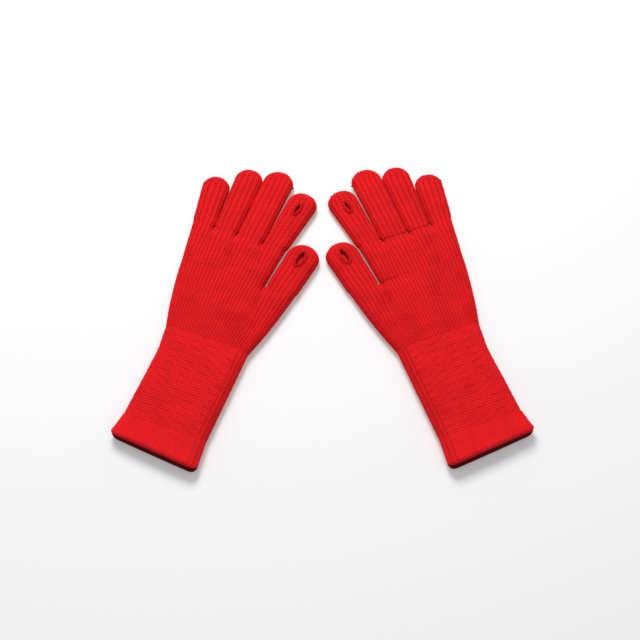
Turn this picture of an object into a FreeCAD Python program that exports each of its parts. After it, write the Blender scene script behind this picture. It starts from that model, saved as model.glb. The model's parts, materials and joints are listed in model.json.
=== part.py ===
import FreeCAD, Part
import math
import os

# A pair of machine-knitted gloves, lying palm up side by side with the fingers leaning together.
#
# Each glove is built in a frame of its own: X runs from the little finger to the thumb, Y from the
# cuff to the fingertips with zero where the palm leaves the wrist, and Z up from the surface that
# the glove lies on. The left glove is the mirror image of the right one. Every section is a tube of
# knitted fabric. The tubes that bend against each other meet at flat ends with JOINT_GAP between
# them, and everything on one side of such an end follows from the same values as the other side.

Vector = FreeCAD.Vector

# Fabric and clearances
FABRIC_WALL = 2.4
JOINT_GAP = 0.3
LAYER_GAP = 0.2
SIDE_ROUNDING = 4.8
ROUNDING_LIMIT = 0.45
LEAST_ROUNDING = 0.8

# Thickness of each section as it lies, over both layers of fabric
FINGER_THICKNESS = 11.5
THUMB_THICKNESS = 12.0
PALM_THICKNESS = 13.0
WRIST_THICKNESS = 14.0
HEM_END_THICKNESS = 17.0

# Wrist: a straight tube that widens into the palm over its last stretch
WRIST_WIDTH = 79.0
WRIST_LENGTH = 96.0
WRIST_FLARE_LENGTH = 30.0

# Palm: its width at the wrist and at the thumb fork, and how far each lies off the middle of the wrist
PALM_BASE_WIDTH = 82.5
PALM_BASE_SHIFT = -1.8
PALM_TOP_WIDTH = 115.6
PALM_TOP_SHIFT = -2.5
PALM_SIDE_BULGE = 1.4
PALM_LENGTH = 73.0
FOUR_FINGER_LENGTH = 45.0

# Fingers: lengths from the line of the knuckles, and the angle left open on the side of the neighbour
# that is nearer the middle finger, which itself runs straight along the glove
KNUCKLE_LINE_START = -68.8
FINGERS = {
    "little": {"root_width": 22.6, "tip_width": 26.4, "length": 59.0, "splay": 1.2, "yarn_angle": 172.0},
    "ring": {"root_width": 23.4, "tip_width": 27.0, "length": 78.5, "splay": 0.2, "yarn_angle": 150.0},
    "middle": {"root_width": 27.0, "tip_width": 29.0, "length": 86.5, "splay": 0.0, "yarn_angle": 0.0},
    "index": {"root_width": 24.0, "tip_width": 28.4, "length": 70.0, "splay": 2.5, "yarn_angle": 55.0},
}
FINGER_SIDE_GAP = 0.5

# Each other finger's neighbour on the side of the middle finger, from the middle outwards
FINGERS_INWARDS = {"ring": "middle", "little": "ring", "index": "middle"}

# Thumb: it leaves the palm at the fork, beside the four-finger tube
THUMB_ROOT_WIDTH = 30.0
THUMB_TIP_WIDTH = 31.0
THUMB_LENGTH = 57.5
THUMB_SPLAY = 1.7
THUMB_YARN_ANGLE = 9.0
THUMB_SIDE_GAP = 1.0

# Slits on the palm side of the index finger and the thumb, each with a rolled edge
INDEX_SLIT_LENGTH = 16.5
INDEX_SLIT_WIDTH = 5.8
INDEX_SLIT_FROM_TIP = 24.0
THUMB_SLIT_LENGTH = 19.0
THUMB_SLIT_WIDTH = 6.2
THUMB_SLIT_FROM_TIP = 19.5
SLIT_EDGE_WIDTH = 1.8
SLIT_EDGE_RISE = 0.8

# Yarn ends, tied off at the side of each fingertip
YARN_DIAMETER = 2.4
YARN_END_LENGTH = 2.2

# Hem: a band of doubled fabric that flares to a slanted end
HEM_LENGTH = 22.5
HEM_FLARE = 3.2
HEM_SLANT = 4.6
HEM_FACING_WALL = 2.0
HEM_STITCH_WIDTH = 1.2
HEM_STITCH_OFFSET = 0.6

# Elastic threads laid into the wrist rows
ELASTIC_DIAMETER = 1.0
ELASTIC_CLEARANCE = 0.1
ELASTIC_PITCH = 7.3

# How the two gloves lie: the place of each wrist line's middle, and the lean of each glove
PAIR_SPACING = 206.0
LEFT_GLOVE_AHEAD = 3.0
GLOVE_LEAN = 21.0

# How far a cutting shape runs past the face that it opens
RUN_OUT = 1.0
TINY = 1e-6

FORK_LINE = PALM_LENGTH
KNUCKLE_LINE = PALM_LENGTH + FOUR_FINGER_LENGTH


def rounding(height, radius):
    """The radius, kept under what a section of this height can take."""
    return min(radius, ROUNDING_LIMIT * height)


class Station:
    """One cross-section of a tube: its place along Y, its two sides, its bottom and its top."""

    def __init__(self, y, left, right, thickness, bottom=0.0):
        self.y = y
        self.left = left
        self.right = right
        self.bottom = bottom
        self.top = bottom + thickness

    def inset(self, depth):
        """The same cross-section, moved inwards by a depth on all four sides."""
        height = self.top - self.bottom - 2 * depth
        return Station(self.y, self.left + depth, self.right - depth, height, self.bottom + depth)

    def at(self, y):
        """The same cross-section at another place along Y."""
        return Station(y, self.left, self.right, self.top - self.bottom, self.bottom)

    def towards(self, other, y):
        """The cross-section at y on the straight tube from this one to another."""
        share = (y - self.y) / (other.y - self.y)
        left = self.left + share * (other.left - self.left)
        right = self.right + share * (other.right - self.right)
        low, high = self.top - self.bottom, other.top - other.bottom
        thickness = low + share * (high - low)
        bottom = self.bottom + share * (other.bottom - self.bottom)
        return Station(y, left, right, thickness, bottom)

    def wire(self, radius):
        """A closed rounded rectangle, from the left end of its bottom side round by the right."""
        r = rounding(self.top - self.bottom, radius)
        c = r * (1 - math.sqrt(0.5))
        x0, x1, z0, z1 = self.left, self.right, self.bottom, self.top

        def point(x, z):
            return Vector(x, self.y, z)

        edges = [
            Part.LineSegment(point(x0 + r, z0), point(x1 - r, z0)),
            Part.Arc(point(x1 - r, z0), point(x1 - c, z0 + c), point(x1, z0 + r)),
            Part.LineSegment(point(x1, z0 + r), point(x1, z1 - r)),
            Part.Arc(point(x1, z1 - r), point(x1 - c, z1 - c), point(x1 - r, z1)),
            Part.LineSegment(point(x1 - r, z1), point(x0 + r, z1)),
            Part.Arc(point(x0 + r, z1), point(x0 + c, z1 - c), point(x0, z1 - r)),
            Part.LineSegment(point(x0, z1 - r), point(x0, z0 + r)),
            Part.Arc(point(x0, z0 + r), point(x0 + c, z0 + c), point(x0 + r, z0)),
        ]
        return Part.Wire([edge.toShape() for edge in edges])


def loft(stations, radius):
    """A solid with straight runs from each station to the next."""
    return Part.makeLoft([station.wire(radius) for station in stations], True, True)


def tube(stations, wall, corner):
    """A tube through the stations in the order of Y, open at both ends, with a wall of even thickness."""
    inner = [station.inset(wall) for station in stations]
    inner[0] = inner[0].at(inner[0].y - RUN_OUT)
    inner[-1] = inner[-1].at(inner[-1].y + RUN_OUT)
    return loft(stations, corner).cut(loft(inner, max(corner - wall, LEAST_ROUNDING)))


def ring(station, length, outer_inset, inner_inset, radius):
    """A band that runs round a cross-section, between two insets from it."""
    half = length / 2
    outer = station.inset(outer_inset)
    inner = station.inset(inner_inset)
    body = loft([outer.at(station.y - half), outer.at(station.y + half)], radius - outer_inset)
    past = half + RUN_OUT
    hole_corner = max(radius - inner_inset, LEAST_ROUNDING)
    return body.cut(loft([inner.at(station.y - past), inner.at(station.y + past)], hole_corner))


def rounded_slab(outline, bottom, height, radius):
    """A flat slab over an outline, its long edges rounded and its straight ends across the glove square."""
    slab = Part.Face(Part.Wire([edge.toShape() for edge in outline])).extrude(Vector(0, 0, height))
    slab.translate(Vector(0, 0, bottom))
    rims = [e for e in slab.Edges if e.BoundBox.ZLength < TINY and e.BoundBox.YLength > TINY]
    return slab.makeFillet(rounding(height, radius), rims)


def bowed_side(start, end, bow):
    """A long side from start to end, straight or bowed by an amount along X at its middle."""
    if bow == 0:
        return Part.LineSegment(start, end)
    return Part.Arc(start, (start + end) / 2 + Vector(bow, 0, 0), end)


# ---------------------------------------------------------------- fingers


class Finger:
    """A finger's outline seen from above: straight sides that run as tangents into a round tip."""

    def __init__(self, left, right, root, thickness, tip_width, length):
        self.left = left
        self.right = right
        self.root = root
        self.thickness = thickness
        self.radius = tip_width / 2
        self.reach = length - self.radius
        self.spread = math.asin((self.radius - (right - left) / 2) / self.reach)
        self.set_lean(0.0)

    def set_lean(self, lean):
        """Lean the finger by an angle towards the thumb, in radians, about the middle of its root."""
        self.lean = lean
        middle = (self.left + self.right) / 2
        self.tip_centre = Vector(middle + self.reach * math.tan(lean), self.root + self.reach, 0)

    def along(self, from_tip):
        """The point on the finger's middle line at a distance back from its tip."""
        back = from_tip - self.radius
        return self.tip_centre - Vector(math.sin(self.lean), math.cos(self.lean), 0) * back

    def rim(self, angle, inset=0.0):
        """The point on the round tip at an angle from the X axis."""
        reach = self.radius - inset
        return self.tip_centre + Vector(math.cos(angle), math.sin(angle), 0) * reach

    def tangent_angle(self, corner, inset, side):
        """The angle on the tip where a line from a root corner touches it, left (-1) or right (1)."""
        offset = corner - self.tip_centre
        spread = math.acos((self.radius - inset) / offset.Length)
        return math.atan2(offset.y, offset.x) + side * spread

    def solid(self, inset=0.0, run_out=0.0):
        """The closed form of the finger, its sides rounded and its root end flat."""
        low_left = Vector(self.left + inset, self.root - run_out, 0)
        low_right = Vector(self.right - inset, self.root - run_out, 0)
        touch_left = self.rim(self.tangent_angle(low_left, inset, -1), inset)
        touch_right = self.rim(self.tangent_angle(low_right, inset, 1), inset)
        top = self.rim(math.pi / 2 - self.lean, inset)
        outline = [
            Part.LineSegment(low_left, touch_left),
            Part.Arc(touch_left, top, touch_right),
            Part.LineSegment(touch_right, low_right),
            Part.LineSegment(low_right, low_left),
        ]
        return rounded_slab(outline, inset, self.thickness - 2 * inset, SIDE_ROUNDING - inset)

    def tube(self):
        """The finger as a knitted tube, closed at its tip and open at its root."""
        return self.solid().cut(self.solid(FABRIC_WALL, RUN_OUT))


class Slit:
    """A lengthwise slit through a finger's palm side, with rounded ends and a rolled edge."""

    def __init__(self, finger, length, width, from_tip):
        self.centre = finger.along(from_tip)
        self.lean = finger.lean
        self.length = length
        self.width = width
        self.top = finger.thickness

    def prism(self, margin, bottom, top):
        """A flat-ended slot of the slit's shape, larger by a margin all round."""
        half_width = self.width / 2 + margin
        half_run = self.length / 2 - self.width / 2
        edges = [
            Part.LineSegment(Vector(-half_width, -half_run, 0), Vector(-half_width, half_run, 0)),
            Part.Arc(
                Vector(-half_width, half_run, 0),
                Vector(0, half_run + half_width, 0),
                Vector(half_width, half_run, 0),
            ),
            Part.LineSegment(Vector(half_width, half_run, 0), Vector(half_width, -half_run, 0)),
            Part.Arc(
                Vector(half_width, -half_run, 0),
                Vector(0, -half_run - half_width, 0),
                Vector(-half_width, -half_run, 0),
            ),
        ]
        slab = Part.Face(Part.Wire([edge.toShape() for edge in edges])).extrude(Vector(0, 0, top - bottom))
        slab.rotate(Vector(0, 0, 0), Vector(0, 0, 1), -math.degrees(self.lean))
        slab.translate(self.centre + Vector(0, 0, bottom))
        return slab

    def cutter(self):
        """What the slit and its edge take out of the finger's palm side."""
        return self.prism(SLIT_EDGE_WIDTH + LAYER_GAP, self.top - FABRIC_WALL - RUN_OUT, self.top + RUN_OUT)

    def edge(self):
        """The rolled edge that lines the slit and stands a little above the fabric."""
        bottom = self.top - FABRIC_WALL
        top = self.top + SLIT_EDGE_RISE
        roll = self.prism(SLIT_EDGE_WIDTH, bottom, top)
        crest = [e for e in roll.Edges if e.BoundBox.ZMin > top - TINY]
        roll = roll.makeFillet(rounding(SLIT_EDGE_WIDTH, SLIT_EDGE_RISE), crest)
        return roll.cut(self.prism(0.0, bottom - RUN_OUT, top + RUN_OUT))


def yarn_end(finger, angle_degrees):
    """A short tied-off yarn end that stands out from the side of a fingertip."""
    angle = math.radians(angle_degrees)
    outwards = Vector(math.cos(angle), math.sin(angle), 0)
    start = finger.rim(angle) + outwards * LAYER_GAP + Vector(0, 0, finger.thickness / 2)
    stub = Part.makeCylinder(YARN_DIAMETER / 2, YARN_END_LENGTH, start, outwards)
    far = start + outwards * YARN_END_LENGTH
    rim = [e for e in stub.Edges if len(e.Vertexes) == 1 and e.Curve.Center.distanceToPoint(far) < TINY]
    return stub.makeFillet(ROUNDING_LIMIT * YARN_DIAMETER, rim)


def lean_away(name, fingers):
    """How far a finger leans so that its side opens by its splay from its neighbour's side."""
    finger, other = fingers[name], fingers[FINGERS_INWARDS[name]]
    between = finger.spread + other.spread + math.radians(FINGERS[name]["splay"])
    return other.lean + math.copysign(between, finger.left - other.left)


def four_fingers():
    """The four fingers in a row from the little finger, each by its name."""
    found = {}
    edge = KNUCKLE_LINE_START
    for name, sizes in FINGERS.items():
        found[name] = Finger(
            edge + FINGER_SIDE_GAP / 2,
            edge + sizes["root_width"] - FINGER_SIDE_GAP / 2,
            KNUCKLE_LINE + JOINT_GAP,
            FINGER_THICKNESS,
            sizes["tip_width"],
            sizes["length"],
        )
        edge += sizes["root_width"]
    for name in FINGERS_INWARDS:
        found[name].set_lean(lean_away(name, found))
    return found


def thumb():
    """The thumb, from the thumb edge of the palm inwards to the fork, opening from the palm's side."""
    right = PALM_TOP_SHIFT + PALM_TOP_WIDTH / 2
    left = right - THUMB_ROOT_WIDTH + THUMB_SIDE_GAP / 2
    root = FORK_LINE + JOINT_GAP
    found = Finger(left, right, root, THUMB_THICKNESS, THUMB_TIP_WIDTH, THUMB_LENGTH)
    fork, knuckles = four_finger_stations()
    beside = math.atan((knuckles.right - fork.right) / (knuckles.y - fork.y))
    found.set_lean(beside + found.spread + math.radians(THUMB_SPLAY))
    return found


# ---------------------------------------------------------------- palm


def palm_base():
    """The cross-section where the palm leaves the wrist."""
    left = PALM_BASE_SHIFT - PALM_BASE_WIDTH / 2
    return Station(0.0, left, left + PALM_BASE_WIDTH, PALM_THICKNESS)


def palm_top():
    """The cross-section at the thumb fork, over the palm and the thumb together."""
    left = PALM_TOP_SHIFT - PALM_TOP_WIDTH / 2
    return Station(FORK_LINE, left, left + PALM_TOP_WIDTH, PALM_THICKNESS)


def palm_slab(low, high, bulge, inset=0.0, run_out=0.0):
    """The closed form of a palm section between two cross-sections, or of the space inside it."""
    low_left = Vector(low.left + inset, low.y - run_out, 0)
    low_right = Vector(low.right - inset, low.y - run_out, 0)
    high_left = Vector(high.left + inset, high.y + run_out, 0)
    high_right = Vector(high.right - inset, high.y + run_out, 0)
    outline = [
        bowed_side(low_left, high_left, -bulge),
        Part.LineSegment(high_left, high_right),
        bowed_side(high_right, low_right, bulge),
        Part.LineSegment(low_right, low_left),
    ]
    return rounded_slab(outline, inset, PALM_THICKNESS - 2 * inset, SIDE_ROUNDING - inset)


def palm_tube(low, high, bulge):
    """A palm section as a knitted tube, open at both ends."""
    return palm_slab(low, high, bulge).cut(palm_slab(low, high, bulge, FABRIC_WALL, RUN_OUT))


def five_finger_palm():
    """The part of the palm below the thumb fork, its sides bowed a little outwards."""
    return palm_tube(palm_base(), palm_top(), PALM_SIDE_BULGE)


def four_finger_stations():
    """The palm's cross-sections at the thumb fork, beside the thumb, and at the line of the knuckles."""
    fork = palm_top().at(FORK_LINE + LAYER_GAP)
    fork.right -= THUMB_ROOT_WIDTH + THUMB_SIDE_GAP / 2
    width = sum(sizes["root_width"] for sizes in FINGERS.values())
    knuckles = Station(KNUCKLE_LINE, KNUCKLE_LINE_START, KNUCKLE_LINE_START + width, PALM_THICKNESS)
    return [fork, knuckles]


def four_finger_palm():
    """The part of the palm between the thumb fork and the roots of the four fingers."""
    return palm_tube(*four_finger_stations(), 0.0)


# ---------------------------------------------------------------- wrist and hem


def wrist_stations():
    """The wrist's cross-sections from the hem to the palm."""
    base = palm_base()
    half = WRIST_WIDTH / 2
    return [
        Station(-WRIST_LENGTH, -half, half, WRIST_THICKNESS),
        Station(-WRIST_FLARE_LENGTH, -half, half, WRIST_THICKNESS),
        Station(-JOINT_GAP, base.left, base.right, WRIST_THICKNESS),
    ]


def wrist_station_at(y):
    """The wrist's cross-section at a place along its length."""
    hem_end, straight_end, palm_end = wrist_stations()
    if y < straight_end.y:
        return hem_end.towards(straight_end, y)
    return straight_end.towards(palm_end, y)


def elastic_rows():
    """The places of the elastic threads along the wrist, centred on its length."""
    count = int((WRIST_LENGTH - ELASTIC_PITCH) / ELASTIC_PITCH)
    first = -WRIST_LENGTH / 2 - (count - 1) * ELASTIC_PITCH / 2
    return [first + row * ELASTIC_PITCH for row in range(count)]


def wrist():
    """The wrist tube, with a groove in its inner face for each elastic thread."""
    body = tube(wrist_stations(), FABRIC_WALL, SIDE_ROUNDING)
    depth = FABRIC_WALL - ELASTIC_DIAMETER - ELASTIC_CLEARANCE
    for y in elastic_rows():
        groove = wrist_station_at(y).inset(depth)
        half = ELASTIC_DIAMETER / 2 + ELASTIC_CLEARANCE
        body = body.cut(loft([groove.at(y - half), groove.at(y + half)], SIDE_ROUNDING - depth))
    return body


def wrist_elastic_threads():
    """The elastic threads, each a loop that lies in its groove."""
    outer_inset = FABRIC_WALL - ELASTIC_DIAMETER
    rows = [wrist_station_at(y) for y in elastic_rows()]
    loops = [ring(row, ELASTIC_DIAMETER, outer_inset, FABRIC_WALL, SIDE_ROUNDING) for row in rows]
    return Part.makeCompound(loops)


def hem_stations(start, end, inset=0.0):
    """The hem's cross-sections at two places, on the flare from the wrist to its slanted end."""
    half = WRIST_WIDTH / 2
    top_y = -WRIST_LENGTH - LAYER_GAP
    near = Station(top_y, -half, half, WRIST_THICKNESS)
    far = Station(top_y - HEM_LENGTH, -half - HEM_FLARE, half + HEM_FLARE, HEM_END_THICKNESS)
    return [near.towards(far, end).inset(inset), near.towards(far, start).inset(inset)]


def slanted_end(setback=0.0):
    """A block that covers everything past the hem's slanted end, which is longer at the thumb."""
    size = 2 * WRIST_WIDTH
    block = Part.makeBox(2 * size, size, size, Vector(-size, -size, -size / 2))
    block.rotate(Vector(0, 0, 0), Vector(0, 0, 1), -HEM_SLANT)
    block.translate(Vector(0, -WRIST_LENGTH - LAYER_GAP - HEM_LENGTH + setback, 0))
    return block


def longest_hem():
    """The place along Y past which no part of the slanted hem reaches."""
    reach = (WRIST_WIDTH / 2 + 2 * HEM_FLARE) * math.tan(math.radians(HEM_SLANT))
    return -WRIST_LENGTH - HEM_LENGTH - reach - RUN_OUT


def hem_outer():
    """The outer layer of the hem band."""
    stations = hem_stations(-WRIST_LENGTH - LAYER_GAP, longest_hem())
    return tube(stations, FABRIC_WALL, SIDE_ROUNDING).cut(slanted_end())


def hem_seam_y():
    """The middle of the seam that holds the facing, just below the wrist's last row."""
    return -WRIST_LENGTH - LAYER_GAP - HEM_STITCH_OFFSET - HEM_STITCH_WIDTH / 2


def hem_facing():
    """The layer turned up inside the hem band, from the slanted end to the seam."""
    start = hem_seam_y() - HEM_STITCH_WIDTH / 2 - LAYER_GAP
    depth = FABRIC_WALL + LAYER_GAP
    stations = hem_stations(start, longest_hem(), depth)
    return tube(stations, HEM_FACING_WALL, SIDE_ROUNDING - depth).cut(slanted_end())


def hem_stitching():
    """The yarn that runs round inside the band along the facing's upper edge."""
    station = hem_stations(hem_seam_y(), longest_hem())[-1]
    inset = FABRIC_WALL + LAYER_GAP
    return ring(station, HEM_STITCH_WIDTH, inset, inset + HEM_STITCH_WIDTH, SIDE_ROUNDING)


# ---------------------------------------------------------------- the pair


def one_glove():
    """Every piece of the right glove in the glove's own frame, by its name."""
    fingers = four_fingers()
    pieces = {name + "_finger": finger.tube() for name, finger in fingers.items()}
    pieces["thumb"] = thumb().tube()
    index_slit = Slit(fingers["index"], INDEX_SLIT_LENGTH, INDEX_SLIT_WIDTH, INDEX_SLIT_FROM_TIP)
    thumb_slit = Slit(thumb(), THUMB_SLIT_LENGTH, THUMB_SLIT_WIDTH, THUMB_SLIT_FROM_TIP)
    pieces["index_finger"] = pieces["index_finger"].cut(index_slit.cutter())
    pieces["thumb"] = pieces["thumb"].cut(thumb_slit.cutter())
    pieces["index_slit_edge"] = index_slit.edge()
    pieces["thumb_slit_edge"] = thumb_slit.edge()
    for name, finger in fingers.items():
        pieces[name + "_yarn_end"] = yarn_end(finger, FINGERS[name]["yarn_angle"])
    pieces["thumb_yarn_end"] = yarn_end(thumb(), THUMB_YARN_ANGLE)
    pieces["four_finger_palm"] = four_finger_palm()
    pieces["five_finger_palm"] = five_finger_palm()
    pieces["wrist"] = wrist()
    pieces["wrist_elastic_threads"] = wrist_elastic_threads()
    pieces["hem_outer"] = hem_outer()
    pieces["hem_facing"] = hem_facing()
    pieces["hem_stitching"] = hem_stitching()
    return pieces


def lay_down(shape, hand):
    """A copy of a shape from the glove's own frame, laid where the right or the left glove lies."""
    side = -1 if hand == "right" else 1
    laid = shape.copy() if hand == "right" else shape.mirror(Vector(0, 0, 0), Vector(1, 0, 0))
    laid.rotate(Vector(0, 0, 0), Vector(0, 0, 1), side * GLOVE_LEAN)
    laid.translate(Vector(side * PAIR_SPACING / 2, 0 if hand == "right" else LEFT_GLOVE_AHEAD, 0))
    return laid


def pair_centre(shapes):
    """The middle of the bottom of the box round all the shapes."""
    box = FreeCAD.BoundBox()
    for shape in shapes:
        box.add(shape.optimalBoundingBox(False))
    return Vector((box.XMin + box.XMax) / 2, (box.YMin + box.YMax) / 2, box.ZMin)


def build_pair():
    """Every piece of both gloves in the part's frame, by its node's name, and the shift to it."""
    glove = one_glove()
    hands = ("right", "left")
    pair = {hand + "_" + name: lay_down(shape, hand) for hand in hands for name, shape in glove.items()}
    centre = pair_centre(pair.values())
    for shape in pair.values():
        shape.translate(-centre)
    return pair, -centre


if __name__ == "__main__":
    os.makedirs("parts", exist_ok=True)
    pieces, shift = build_pair()
    for node, shape in pieces.items():
        shape.exportStep("parts/" + node + ".step")
    print(len(pieces), "nodes written, frame shift", shift)
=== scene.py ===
"""A pair of red knitted gloves lying palm up on a pale floor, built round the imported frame.

Each glove is worked out in a frame of its own, in millimetres: X from the little finger to the
thumb, Y from the cuff to the fingertips with zero where the palm leaves the wrist, Z up.
"""

import json
import logging
import math
from dataclasses import dataclass, field
from enum import Enum

import bpy
import numpy as np
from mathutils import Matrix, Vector


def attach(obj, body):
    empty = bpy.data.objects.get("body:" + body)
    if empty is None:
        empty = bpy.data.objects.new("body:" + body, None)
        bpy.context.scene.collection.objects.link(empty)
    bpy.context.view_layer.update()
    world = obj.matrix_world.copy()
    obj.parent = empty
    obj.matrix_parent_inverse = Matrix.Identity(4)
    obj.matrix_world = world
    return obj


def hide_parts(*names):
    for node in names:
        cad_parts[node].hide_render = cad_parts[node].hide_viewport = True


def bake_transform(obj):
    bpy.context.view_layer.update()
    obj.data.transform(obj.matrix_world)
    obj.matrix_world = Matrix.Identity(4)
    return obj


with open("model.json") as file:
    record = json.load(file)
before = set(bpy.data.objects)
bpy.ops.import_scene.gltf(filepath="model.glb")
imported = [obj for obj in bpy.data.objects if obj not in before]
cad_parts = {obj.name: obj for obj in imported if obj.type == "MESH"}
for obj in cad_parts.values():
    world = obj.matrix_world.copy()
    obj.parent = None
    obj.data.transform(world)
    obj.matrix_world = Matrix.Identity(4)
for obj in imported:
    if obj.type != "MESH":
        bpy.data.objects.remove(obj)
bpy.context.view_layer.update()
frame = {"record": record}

MM = 0.001
LOG = logging.getLogger("gloves")

Array = np.ndarray
Owner = bpy.types.Material | bpy.types.World
Colour = tuple[float, float, float, float]


# ---------------------------------------------------------------- shader tools


class Sock:
    """A node's output socket that takes part in number expressions."""

    def __init__(self, shader: "Shader", out: bpy.types.NodeSocket) -> None:
        """Keep the socket.

        Args:
            shader: the shader that its maths nodes are added to.
            out: the socket.
        """
        self.shader = shader
        self.out = out

    def _maths(self, operation: str, first: "Sock | float", second: "Sock | float") -> "Sock":
        """One Math node on two values.

        Args:
            operation: the Math node's operation.
            first: its first value.
            second: its second value.

        Returns:
            The node's result.
        """
        return self.shader.node("ShaderNodeMath", {"operation": operation}, {0: first, 1: second})

    def __add__(self, other: "Sock | float") -> "Sock":
        """Sum.

        Args:
            other: the value on the other side of the sign.

        Returns:
            The result.
        """
        return self._maths("ADD", self, other)

    def __radd__(self, other: float) -> "Sock":
        """Sum, the number first.

        Args:
            other: the value on the other side of the sign.

        Returns:
            The result.
        """
        return self._maths("ADD", other, self)

    def __sub__(self, other: "Sock | float") -> "Sock":
        """Difference.

        Args:
            other: the value on the other side of the sign.

        Returns:
            The result.
        """
        return self._maths("SUBTRACT", self, other)

    def __rsub__(self, other: float) -> "Sock":
        """Difference, the number first.

        Args:
            other: the value on the other side of the sign.

        Returns:
            The result.
        """
        return self._maths("SUBTRACT", other, self)

    def __mul__(self, other: "Sock | float") -> "Sock":
        """Product.

        Args:
            other: the value on the other side of the sign.

        Returns:
            The result.
        """
        return self._maths("MULTIPLY", self, other)

    def __rmul__(self, other: float) -> "Sock":
        """Product, the number first.

        Args:
            other: the value on the other side of the sign.

        Returns:
            The result.
        """
        return self._maths("MULTIPLY", other, self)


class Shader:
    """A material or a world under construction."""

    def __init__(self, owner: Owner) -> None:
        """Start an empty node tree.

        Args:
            owner: the material or world that it belongs to.
        """
        self.owner = owner
        self.owner.use_nodes = True
        self.tree = self.owner.node_tree
        self.tree.nodes.clear()

    def node(
        self,
        kind: str,
        settings: dict[str, object] | None = None,
        values: dict[int | str, object] | None = None,
        output: int | str = 0,
    ) -> Sock:
        """Add a node, its settings first and then its sockets.

        Args:
            kind: the node's type.
            settings: properties of the node.
            values: numbers, colours or links for its input sockets.
            output: which of its outputs to hand back.

        Returns:
            The chosen output.
        """
        made = self.tree.nodes.new(kind)
        for key, value in (settings or {}).items():
            setattr(made, key, value)
        for key, value in (values or {}).items():
            if isinstance(value, Sock):
                self.tree.links.new(value.out, made.inputs[key])
            else:
                made.inputs[key].default_value = value
        return Sock(self, made.outputs[output])

    def mix(self, share: Sock | float, first: object, second: object) -> Sock:
        """A colour between two colours.

        Args:
            share: 0 for the first, 1 for the second.
            first: a colour or a link.
            second: a colour or a link.

        Returns:
            The mixed colour.
        """
        return self.node("ShaderNodeMix", {"data_type": "RGBA"}, {0: share, 6: first, 7: second}, 2)

    def direct(self) -> Sock:
        """Tell direct looks from other light.

        Returns:
            1 where the camera looks, straight or by way of a mirror or glass, and 0 for other light.
        """
        seen = self.node("ShaderNodeLightPath", output="Is Camera Ray")
        mirrored = self.node("ShaderNodeLightPath", output="Is Glossy Ray")
        through = self.node("ShaderNodeLightPath", output="Is Transmission Ray")
        return (seen + mirrored) + through

    def close(self, surface: Sock, end: str = "ShaderNodeOutputMaterial") -> Owner:
        """Link the surface to the output.

        Args:
            surface: the shader to show.
            end: the output node's type.

        Returns:
            The finished material or world.
        """
        last = self.tree.nodes.new(end)
        self.tree.links.new(surface.out, last.inputs["Surface"])
        return self.owner


@dataclass(frozen=True)
class YarnFinish:
    """Soft matt yarn, with painted shade that darkens its colour down between its loops."""

    name: str
    crest: Colour
    valley_shade: Colour
    mottle: float = 0.13
    fibre_size_mm: float = 0.55
    fibre_depth_mm: float = 0.35
    roughness: float = 0.86

    def make(self) -> bpy.types.Material:
        """Build the material: the relief attribute runs from the valley's painted shade to the crest, noise
        mottles it.

        Returns:
            The yarn's material.
        """
        shader = Shader(bpy.data.materials.new(self.name))
        relief = shader.node("ShaderNodeAttribute", {"attribute_name": "relief"}, output="Fac")
        place = shader.node("ShaderNodeTexCoord", output="Object")
        cloud = shader.node("ShaderNodeTexNoise", {}, {"Vector": place, "Scale": 60.0, "Detail": 3.0}, 0)
        fibre_scale = 1.0 / (self.fibre_size_mm * MM)
        fibre = shader.node(
            "ShaderNodeTexNoise",
            {},
            {"Vector": place, "Scale": fibre_scale, "Detail": 3.0, "Roughness": 0.65},
            0,
        )
        depth = relief + (fibre - 0.5) * 0.35
        # Painted shade: where the relief is low, between the loops, the colour goes to the darker valley
        # colour.
        colour = shader.mix(depth, self.valley_shade, self.crest)
        mottled = shader.mix((cloud - 0.35) * self.mottle * 4.0, colour, self.valley_shade)
        bump = shader.node(
            "ShaderNodeBump",
            {},
            {"Strength": 0.55, "Distance": self.fibre_depth_mm * MM, "Height": fibre},
            0,
        )
        surface = shader.node(
            "ShaderNodeBsdfPrincipled",
            {},
            {
                "Base Color": mottled,
                "Roughness": self.roughness,
                "Specular IOR Level": 0.12,
                "Sheen Weight": 0.18,
                "Sheen Roughness": 0.45,
                "Sheen Tint": (1.0, 0.18, 0.16, 1.0),
                "Normal": bump,
            },
        )
        return shader.close(surface)


@dataclass(frozen=True)
class FloorFinish:
    """A plain white sheet, lifted to white where the camera or a mirror looks at it."""

    albedo: float = 0.80
    lift: float = 0.19

    def make(self) -> bpy.types.Material:
        """Build the material: a diffuse sheet plus a little glow for direct looks only.

        Returns:
            The floor's material.
        """
        shader = Shader(bpy.data.materials.new("pale_sheet"))
        white = (self.albedo, self.albedo, self.albedo * 1.01, 1.0)
        sheet = shader.node("ShaderNodeBsdfDiffuse", {}, {"Color": white})
        full = (1.0, 1.0, 1.0, 1.0)
        glow = shader.node("ShaderNodeEmission", {}, {"Color": full, "Strength": self.lift})
        lifted = shader.node("ShaderNodeAddShader", {}, {0: sheet, 1: glow})
        values = {0: shader.direct(), 1: sheet, 2: lifted}
        return shader.close(shader.node("ShaderNodeMixShader", {}, values))


# ---------------------------------------------------------------- small maths


def smooth(start: float, end: float, value: Array) -> Array:
    """The smooth step: 3t^2 - 2t^3 with t running from 0 at start to 1 at end.

    Args:
        start: where the step begins.
        end: where it is complete.
        value: where to read it.

    Returns:
        The step at each value.
    """
    t = np.clip((value - start) / (end - start), 0.0, 1.0)
    return t * t * (3.0 - 2.0 * t)


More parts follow.
